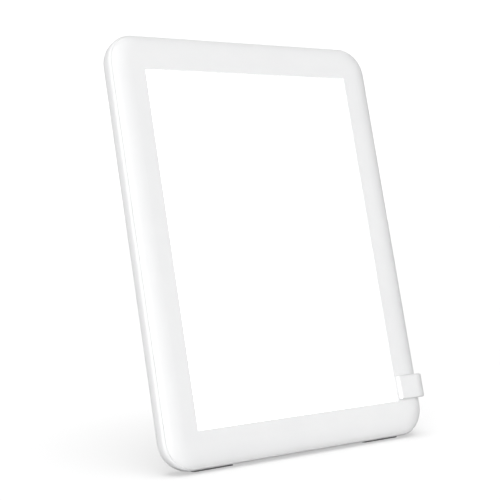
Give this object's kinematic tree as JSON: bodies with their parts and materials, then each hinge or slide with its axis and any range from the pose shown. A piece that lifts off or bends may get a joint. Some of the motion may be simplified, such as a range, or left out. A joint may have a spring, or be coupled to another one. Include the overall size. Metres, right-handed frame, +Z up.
{
  "type": "light therapy lamp",
  "caption": "Thin edge-lit light therapy panel with a rounded white frame, leaning back on a clip-on stand with a folding leg.",
  "frame": {"origin": "centre of the lamp's bounding box in plan, on the surface that it stands on", "axes": "+Z up, the lit face towards -Y leaning 15 degrees back, +X towards the clip side"},
  "size_m": [0.1676, 0.072, 0.211],
  "materials": {
    "housing_white": "satin-gloss moulded white ABS",
    "stand_white": "satin moulded white ABS",
    "diffuser_glow": "opal acrylic, lit evenly from behind",
    "clear_acrylic": "clear polished acrylic with a dot pattern",
    "reflector_film": "white polyester film",
    "gasket_foam": "soft pale grey foam",
    "tray_aluminium": "mill-finish folded sheet",
    "led_board_white": "white solder mask on an aluminium core",
    "led_package": "yellow phosphor in a white package",
    "screw_steel": "zinc-plated",
    "pin_steel": "ground steel rod",
    "foot_rubber": "matt grey silicone",
    "circuit_board": "green solder mask",
    "black_moulding": "black moulded nylon",
    "ferrite": "dark grey sintered ferrite",
    "capacitor_can": "sleeved aluminium can",
    "chip_ceramic": "tan ceramic with tinned ends",
    "connector_cream": "natural nylon",
    "contact_nickel": "nickel-plated brass",
    "lead_red": "PVC insulation",
    "lead_black": "PVC insulation"
  },
  "bodies": {
    "lamp": {"front_bezel": "housing_white", "window_gasket": "gasket_foam", "diffuser_plate": "diffuser_glow", "light_guide_plate": "clear_acrylic", "reflector_sheet": "reflector_film", "heat_tray": "tray_aluminium", "led_board_top": "led_board_white", "led_board_bottom": "led_board_white", "leds_top": "led_package", "leds_bottom": "led_package", "rear_cover": "housing_white", "cover_screws": "screw_steel", "base_feet": "foot_rubber", "driver_board": "circuit_board", "board_screws": "screw_steel", "driver_chip": "black_moulding", "power_inductor": "ferrite", "smoothing_capacitor": "capacitor_can", "board_chips": "chip_ceramic", "lead_connectors": "connector_cream", "lead_top_positive": "lead_red", "lead_top_negative": "lead_black", "lead_bottom_positive": "lead_red", "lead_bottom_negative": "lead_black", "dc_socket": "black_moulding", "socket_pin": "contact_nickel", "socket_tabs": "contact_nickel", "switch_body": "black_moulding"},
    "button": {"power_button": "housing_white", "switch_plunger": "connector_cream"},
    "stand": {"stand_bracket": "stand_white", "hinge_pin": "pin_steel"},
    "leg": {"stand_leg": "stand_white", "leg_pad": "foot_rubber"}
  },
  "joints": [
    {"name": "stand_slide", "type": "slide", "parent": "lamp", "child": "stand", "axis": [1, 0, 0], "range_m": [0, 0.0935]},
    {"name": "leg_fold", "type": "hinge", "parent": "stand", "child": "leg", "pos_m": [0.03075, 0.00341, 0.08042], "axis": [1, 0, 0], "range_deg": [-35, 0]},
    {"name": "button_press", "type": "slide", "parent": "lamp", "child": "button", "axis": [-1, 0, 0], "range_m": [0, 0.0005], "stiffness_N_per_m": 1600, "springref_m": -0.0005}
  ]
}
